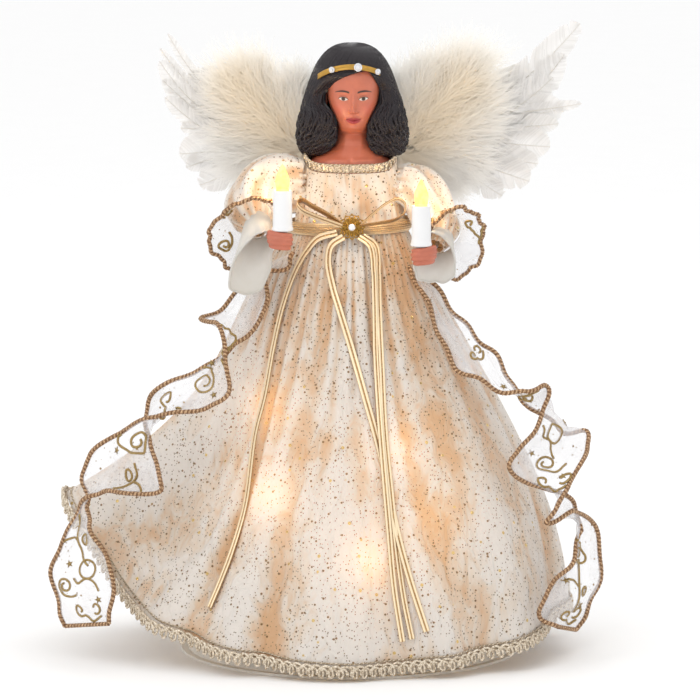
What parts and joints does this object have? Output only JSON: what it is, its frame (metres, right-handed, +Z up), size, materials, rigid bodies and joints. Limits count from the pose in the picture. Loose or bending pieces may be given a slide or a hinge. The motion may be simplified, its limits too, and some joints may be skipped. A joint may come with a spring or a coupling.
{
  "type": "lighted angel treetop figurine",
  "caption": "Treetop angel in a satin gown over a hollow card cone, with feather wings, candle lamps in its hands, organza cascades and lamps under the skirt.",
  "frame": {"origin": "centre of the overall width and depth, on the surface that the cone's rim stands on", "axes": "+Z up, the figure faces -Y, +X to the right as seen from the front"},
  "size_m": [0.2903, 0.1916, 0.3257],
  "materials": {
    "card": "matte",
    "white_plastic": "satin",
    "lamp_glass": "clear",
    "cable": "matte",
    "foam": "matte",
    "skin": "satin",
    "hair": "glossy",
    "gold": "satin",
    "crystal": "clear",
    "satin": "satin",
    "organza": "sheer",
    "ivory": "matte",
    "ribbon": "satin",
    "wire": "satin",
    "feather": "matte",
    "down": "matte"
  },
  "bodies": {
    "figure": {"support_cone": "card", "wing_mount": "white_plastic", "lead_grommet": "white_plastic", "lamp_holder_1": "white_plastic", "lamp_holder_2": "white_plastic", "lamp_holder_3": "white_plastic", "lamp_holder_4": "white_plastic", "lamp_holder_5": "white_plastic", "lamp_holder_6": "white_plastic", "lamp_bulb_1": "lamp_glass", "lamp_bulb_2": "lamp_glass", "lamp_bulb_3": "lamp_glass", "lamp_bulb_4": "lamp_glass", "lamp_bulb_5": "lamp_glass", "lamp_bulb_6": "lamp_glass", "harness_wire": "cable", "torso_form": "foam", "bust": "skin", "hair": "hair", "headband": "gold", "neckline_trim": "gold", "hem_trim": "gold", "brooch_setting": "gold", "crystal_center": "crystal", "crystal_left": "crystal", "crystal_right": "crystal", "brooch_crystal": "crystal", "bodice": "satin", "skirt": "satin", "drape_left": "organza", "drape_right": "organza", "sash": "ribbon", "bow_loop_left": "ribbon", "bow_loop_right": "ribbon", "ribbon_tail_left": "ribbon", "ribbon_tail_middle": "ribbon", "ribbon_tail_right": "ribbon"},
    "wing_left": {"wing_wire_left": "wire", "wing_backing_left": "foam", "primary_feathers_left": "feather", "down_feathers_left": "down"},
    "arm_left": {"arm_wire_left": "wire", "sleeve_left": "satin", "sleeve_ruffle_left": "organza", "cuff_left": "ivory", "hand_left": "skin", "candle_left": "white_plastic"},
    "bulb_left": {"flame_bulb_left": "lamp_glass"},
    "wing_right": {"wing_wire_right": "wire", "wing_backing_right": "foam", "primary_feathers_right": "feather", "down_feathers_right": "down"},
    "arm_right": {"arm_wire_right": "wire", "sleeve_right": "satin", "sleeve_ruffle_right": "organza", "cuff_right": "ivory", "hand_right": "skin", "candle_right": "white_plastic"},
    "bulb_right": {"flame_bulb_right": "lamp_glass"}
  },
  "joints": [
    {"name": "wing_left_fold", "type": "hinge", "parent": "figure", "child": "wing_left", "pos_m": [0.001, 0.0264, 0.2475], "axis": [0, 0, -1], "range_deg": [0, 55]},
    {"name": "wing_right_fold", "type": "hinge", "parent": "figure", "child": "wing_right", "pos_m": [0.023, 0.0264, 0.2475], "axis": [0, 0, 1], "range_deg": [0, 55]},
    {"name": "arm_left_raise", "type": "hinge", "parent": "figure", "child": "arm_left", "pos_m": [-0.013, -0.001, 0.252], "axis": [-1, 0, 0], "range_deg": [-4, 15]},
    {"name": "arm_right_raise", "type": "hinge", "parent": "figure", "child": "arm_right", "pos_m": [0.037, -0.001, 0.252], "axis": [-1, 0, 0], "range_deg": [-4, 15]},
    {"name": "bulb_left_pull", "type": "slide", "parent": "arm_left", "child": "bulb_left", "axis": [0, 0, 1], "range_m": [0, 0.012]},
    {"name": "bulb_right_pull", "type": "slide", "parent": "arm_right", "child": "bulb_right", "axis": [0, 0, 1], "range_m": [0, 0.012]}
  ]
}
